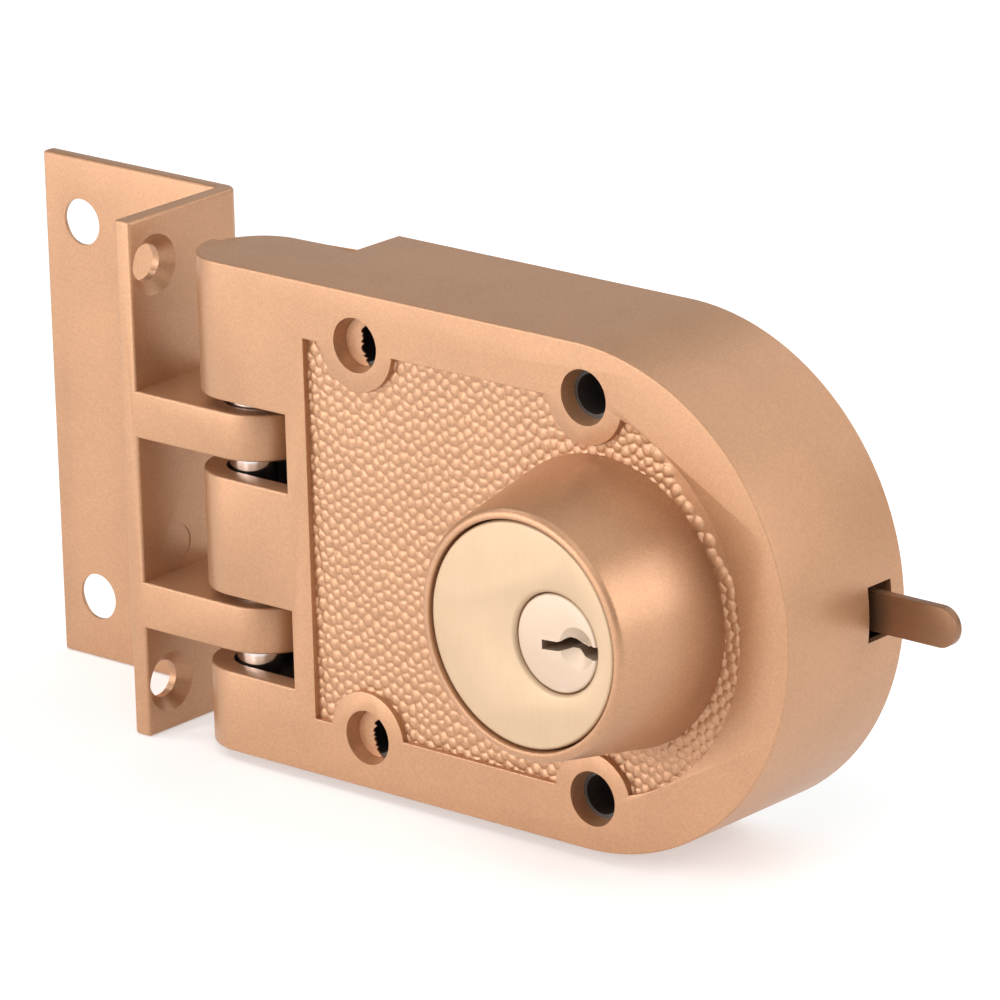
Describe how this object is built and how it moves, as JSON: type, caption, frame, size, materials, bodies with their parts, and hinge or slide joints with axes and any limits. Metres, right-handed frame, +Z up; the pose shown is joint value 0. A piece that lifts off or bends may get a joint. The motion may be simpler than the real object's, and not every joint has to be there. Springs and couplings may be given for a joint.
{
  "type": "jimmy-proof deadlock",
  "caption": "Surface-mounted interlocking deadlock: cast case with key cylinder, vertical round bolt pins through the ringed ears of its angle strike, and a spring shutter guard.",
  "frame": {"origin": "centre of the four case screw holes, on the door face plane at the back of the case", "axes": "+X towards the curved end, +Y into the door, +Z up along the bolt pins"},
  "size_m": [0.1532, 0.0382, 0.07],
  "materials": {
    "copper_paint": "satin copper-bronze metallic paint on a zinc casting",
    "satin_brass": "satin-turned brass",
    "zinc_steel": "bright zinc-plated steel",
    "bright_steel": "bright ground and chromed steel",
    "brown_steel": "brown-coated steel with bare edges",
    "spring_steel": "drawn spring wire"
  },
  "bodies": {
    "case": {"case": "copper_paint", "back_plate": "zinc_steel", "back_plate_screws": "zinc_steel", "cylinder_body": "satin_brass", "chamber_cover": "satin_brass", "cylinder_clamp": "zinc_steel", "clamp_screws": "zinc_steel", "shutter_rivets": "zinc_steel", "shutter_spring": "spring_steel", "tumbler_spring_1": "spring_steel", "tumbler_spring_2": "spring_steel", "tumbler_spring_3": "spring_steel", "tumbler_spring_4": "spring_steel", "tumbler_spring_5": "spring_steel"},
    "plug": {"cylinder_plug": "satin_brass", "plug_retainer": "spring_steel", "tailpiece": "zinc_steel"},
    "hub": {"cam_hub": "zinc_steel", "cam_pin": "zinc_steel"},
    "bolt": {"bolt_carrier": "zinc_steel", "upper_bolt_pin": "bright_steel", "lower_bolt_pin": "bright_steel"},
    "shutter": {"shutter_guard": "brown_steel"},
    "strike": {"strike": "copper_paint"},
    "key_pin_1": {"key_pin_1": "satin_brass"},
    "driver_pin_1": {"driver_pin_1": "satin_brass"},
    "key_pin_2": {"key_pin_2": "satin_brass"},
    "driver_pin_2": {"driver_pin_2": "satin_brass"},
    "key_pin_3": {"key_pin_3": "satin_brass"},
    "driver_pin_3": {"driver_pin_3": "satin_brass"},
    "key_pin_4": {"key_pin_4": "satin_brass"},
    "driver_pin_4": {"driver_pin_4": "satin_brass"},
    "key_pin_5": {"key_pin_5": "satin_brass"},
    "driver_pin_5": {"driver_pin_5": "satin_brass"}
  },
  "joints": [
    {"name": "plug_turn", "type": "hinge", "parent": "case", "child": "plug", "pos_m": [0.0262, -0.0379, 0], "axis": [0, 1, 0], "range_deg": [0, 90]},
    {"name": "hub_turn", "type": "hinge", "parent": "case", "child": "hub", "pos_m": [0.0262, -0.0093, 0], "axis": [0, 1, 0], "range_deg": [0, 90]},
    {"name": "bolt_slide", "type": "slide", "parent": "case", "child": "bolt", "axis": [0, 0, 1], "range_m": [0, 0.01355]},
    {"name": "shutter_slide", "type": "slide", "parent": "case", "child": "shutter", "axis": [-1, 0, 0], "range_m": [0, 0.0115], "stiffness_N_per_m": 40, "springref_m": -0.006, "deforming": ["shutter_spring"]},
    {"name": "strike_swing", "type": "hinge", "parent": "case", "child": "strike", "pos_m": [-0.0421, -0.0149, 0], "axis": [0, 0, 1], "range_deg": [-75, 90]},
    {"name": "key_pin_1_slide", "type": "slide", "parent": "plug", "child": "key_pin_1", "axis": [1, 0, 0], "range_m": [0, 0.0012]},
    {"name": "driver_pin_1_slide", "type": "slide", "parent": "case", "child": "driver_pin_1", "axis": [-1, 0, 0], "range_m": [0, 0.0012], "stiffness_N_per_m": 60, "springref_m": -0.001, "deforming": ["tumbler_spring_1"]},
    {"name": "key_pin_2_slide", "type": "slide", "parent": "plug", "child": "key_pin_2", "axis": [1, 0, 0], "range_m": [0, 0.0012]},
    {"name": "driver_pin_2_slide", "type": "slide", "parent": "case", "child": "driver_pin_2", "axis": [-1, 0, 0], "range_m": [0, 0.0012], "stiffness_N_per_m": 60, "springref_m": -0.001, "deforming": ["tumbler_spring_2"]},
    {"name": "key_pin_3_slide", "type": "slide", "parent": "plug", "child": "key_pin_3", "axis": [1, 0, 0], "range_m": [0, 0.0012]},
    {"name": "driver_pin_3_slide", "type": "slide", "parent": "case", "child": "driver_pin_3", "axis": [-1, 0, 0], "range_m": [0, 0.0012], "stiffness_N_per_m": 60, "springref_m": -0.001, "deforming": ["tumbler_spring_3"]},
    {"name": "key_pin_4_slide", "type": "slide", "parent": "plug", "child": "key_pin_4", "axis": [1, 0, 0], "range_m": [0, 0.0012]},
    {"name": "driver_pin_4_slide", "type": "slide", "parent": "case", "child": "driver_pin_4", "axis": [-1, 0, 0], "range_m": [0, 0.0012], "stiffness_N_per_m": 60, "springref_m": -0.001, "deforming": ["tumbler_spring_4"]},
    {"name": "key_pin_5_slide", "type": "slide", "parent": "plug", "child": "key_pin_5", "axis": [1, 0, 0], "range_m": [0, 0.0012]},
    {"name": "driver_pin_5_slide", "type": "slide", "parent": "case", "child": "driver_pin_5", "axis": [-1, 0, 0], "range_m": [0, 0.0012], "stiffness_N_per_m": 60, "springref_m": -0.001, "deforming": ["tumbler_spring_5"]}
  ],
  "couplings": [
    {"joint": "plug_turn", "follows": "bolt_slide", "rad_per_m": 115.92},
    {"joint": "hub_turn", "follows": "bolt_slide", "rad_per_m": 115.92}
  ]
}
